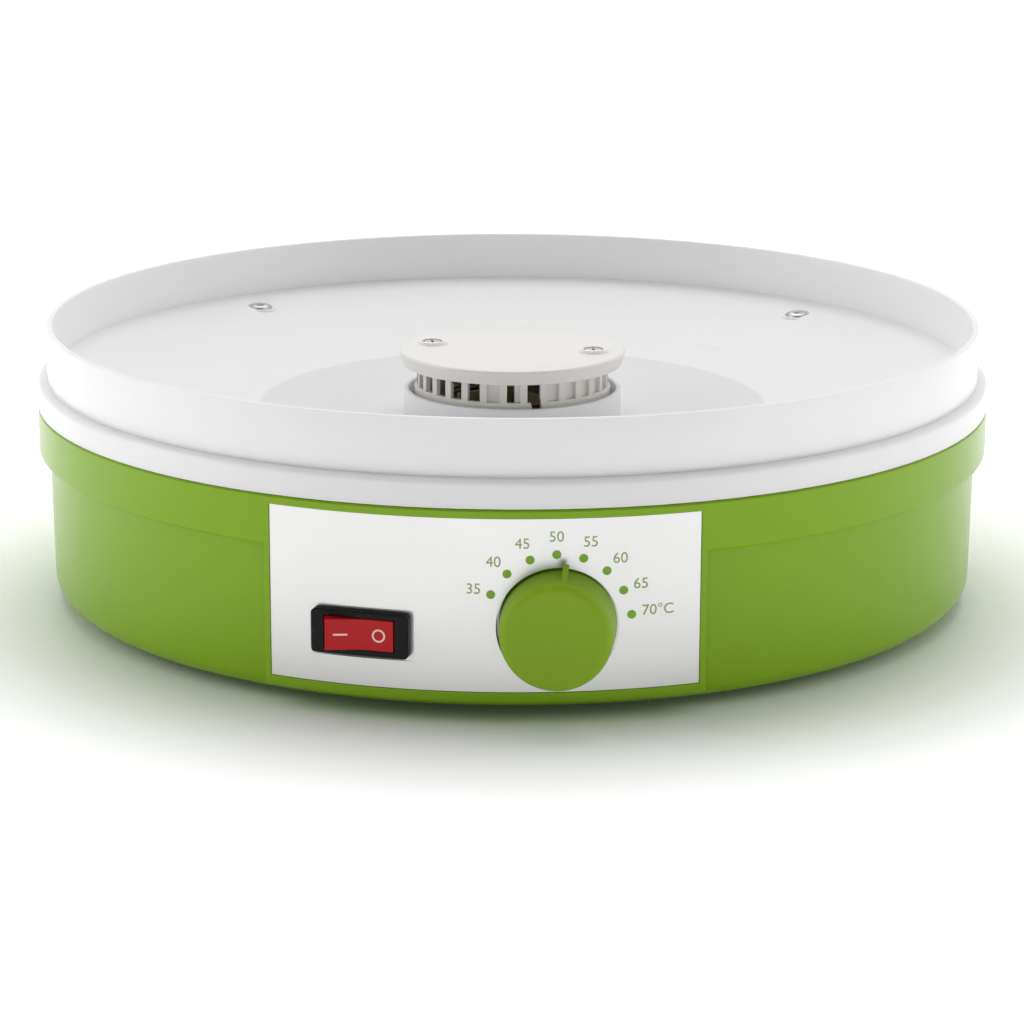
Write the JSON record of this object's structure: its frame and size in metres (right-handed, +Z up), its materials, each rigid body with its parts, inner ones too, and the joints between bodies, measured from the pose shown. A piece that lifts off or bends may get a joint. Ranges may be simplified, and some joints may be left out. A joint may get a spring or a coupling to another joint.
{
  "type": "food dehydrator base",
  "caption": "Round powered base of a food dehydrator: tub with rocker switch and heat dial, cover with a tray collar and a slotted central air outlet cap, fan and heater inside.",
  "frame": {"origin": "on the fan's axis, at the level of the surface that the feet stand on", "axes": "+Z up along the fan's and the tray collar's axis, -Y towards the front with the switch and the dial, +X to the right as seen from the front"},
  "size_m": [0.32, 0.3408, 0.0932],
  "materials": {
    "green_plastic": "glossy moulded plastic",
    "olive_plastic": "satin moulded plastic",
    "silver_panel": "satin silver plastic",
    "cover_plastic": "glossy moulded plastic",
    "cap_plastic": "satin moulded plastic",
    "black_plastic": "fine textured plastic",
    "red_plastic": "glossy translucent plastic",
    "lamp_glass": "clear glass with electrodes",
    "grey_plastic": "heat-resisting plastic",
    "dark_plastic": "glass-filled plastic",
    "ceramic": "unglazed insulating moulding",
    "bobbin_plastic": "moulded nylon",
    "copper": "copper",
    "bronze": "sintered bronze",
    "brass": "brass",
    "core_steel": "laminated steel with cut edges",
    "mica": "pressed mica sheet",
    "heater_wire": "oxidised resistance wire",
    "zinc_steel": "zinc-plated steel",
    "foot_rubber": "moulded rubber",
    "brown_lead": "insulated lead",
    "blue_lead": "insulated lead",
    "white_lead": "glass-sleeved lead"
  },
  "bodies": {
    "base_unit": {"base_tub": "green_plastic", "rubber_foot_front_left": "foot_rubber", "rubber_foot_front_right": "foot_rubber", "rubber_foot_rear_left": "foot_rubber", "rubber_foot_rear_right": "foot_rubber", "control_panel": "silver_panel", "top_cover": "cover_plastic", "cover_screws": "zinc_steel", "air_outlet_cap": "cap_plastic", "cap_screws": "zinc_steel", "switch_housing": "black_plastic", "switch_terminals": "brass", "neon_lamp": "lamp_glass", "thermostat_body": "ceramic", "thermostat_nut": "zinc_steel", "thermostat_terminals": "brass", "bimetal_strip": "zinc_steel", "cable_gland": "black_plastic", "gland_dome_nut": "black_plastic", "gland_lock_nut": "black_plastic", "air_duct": "grey_plastic", "duct_screws": "zinc_steel", "stator_core": "core_steel", "coil_bobbin": "bobbin_plastic", "field_coil": "copper", "shading_rings": "copper", "upper_bridge": "zinc_steel", "lower_bridge": "zinc_steel", "upper_bearing": "bronze", "lower_bearing": "bronze", "motor_bolts": "zinc_steel", "motor_grommets": "foot_rubber", "heater_board_lower": "mica", "heater_board_upper": "mica", "heater_winding": "heater_wire", "thermal_fuse": "ceramic", "terminal_block": "ceramic", "terminal_block_screw": "zinc_steel", "terminal_clamp_screws": "brass", "lead_live_to_switch": "brown_lead", "lead_switch_to_thermostat": "brown_lead", "lead_thermostat_to_fuse": "white_lead", "lead_heater_neutral": "blue_lead", "lead_motor_live": "brown_lead", "lead_motor_neutral": "blue_lead"},
    "rocker": {"rocker_button": "red_plastic"},
    "lever": {"contact_lever": "copper"},
    "dial": {"temperature_knob": "olive_plastic", "thermostat_spindle": "brass"},
    "fan": {"impeller": "dark_plastic", "impeller_clip": "zinc_steel", "motor_shaft": "zinc_steel", "rotor": "core_steel"}
  },
  "joints": [
    {"name": "rocker_tilt", "type": "hinge", "parent": "base_unit", "child": "rocker", "pos_m": [-0.03649, -0.15559, 0.0267], "axis": [0, 0, -1], "range_deg": [0, 20]},
    {"name": "contact_tilt", "type": "hinge", "parent": "base_unit", "child": "lever", "pos_m": [-0.03428, -0.14614, 0.0247], "axis": [0, 0, -1], "range_deg": [-12, 0]},
    {"name": "knob_turn", "type": "hinge", "parent": "base_unit", "child": "dial", "pos_m": [0.0225, -0.15421, 0.0302], "axis": [0, 1, 0], "range_deg": [-71.5, 75.5]},
    {"name": "fan_spin", "type": "hinge", "parent": "base_unit", "child": "fan", "pos_m": [0, 0, 0.0205], "axis": [0, 0, 1], "continuous": true}
  ],
  "couplings": [
    {"joint": "contact_tilt", "follows": "rocker_tilt", "ratio": -0.6}
  ]
}
